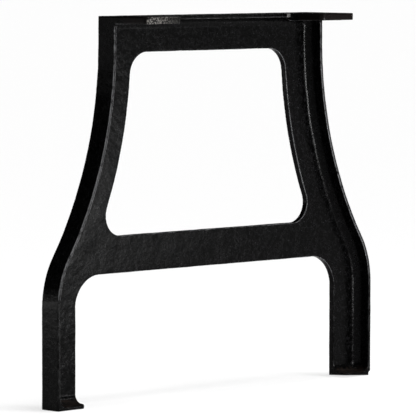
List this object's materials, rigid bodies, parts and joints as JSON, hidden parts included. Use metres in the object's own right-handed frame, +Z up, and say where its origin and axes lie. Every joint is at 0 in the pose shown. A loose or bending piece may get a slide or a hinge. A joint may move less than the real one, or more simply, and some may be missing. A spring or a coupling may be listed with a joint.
{
  "type": "cast iron trestle table leg",
  "caption": "One-piece A-shaped cast iron table leg with an outer rim, a window, an arch between its feet and lugs on top for screws.",
  "frame": {"origin": "middle of the box the leg fills, at floor height", "axes": "+X across the leg from foot to foot, -Y the way the top lugs point, +Z up"},
  "size_m": [0.827, 0.128, 0.71],
  "materials": {
    "enamelled_iron": "satin"
  },
  "bodies": {
    "root": {"cast_leg": "enamelled_iron"}
  },
  "joints": []
}
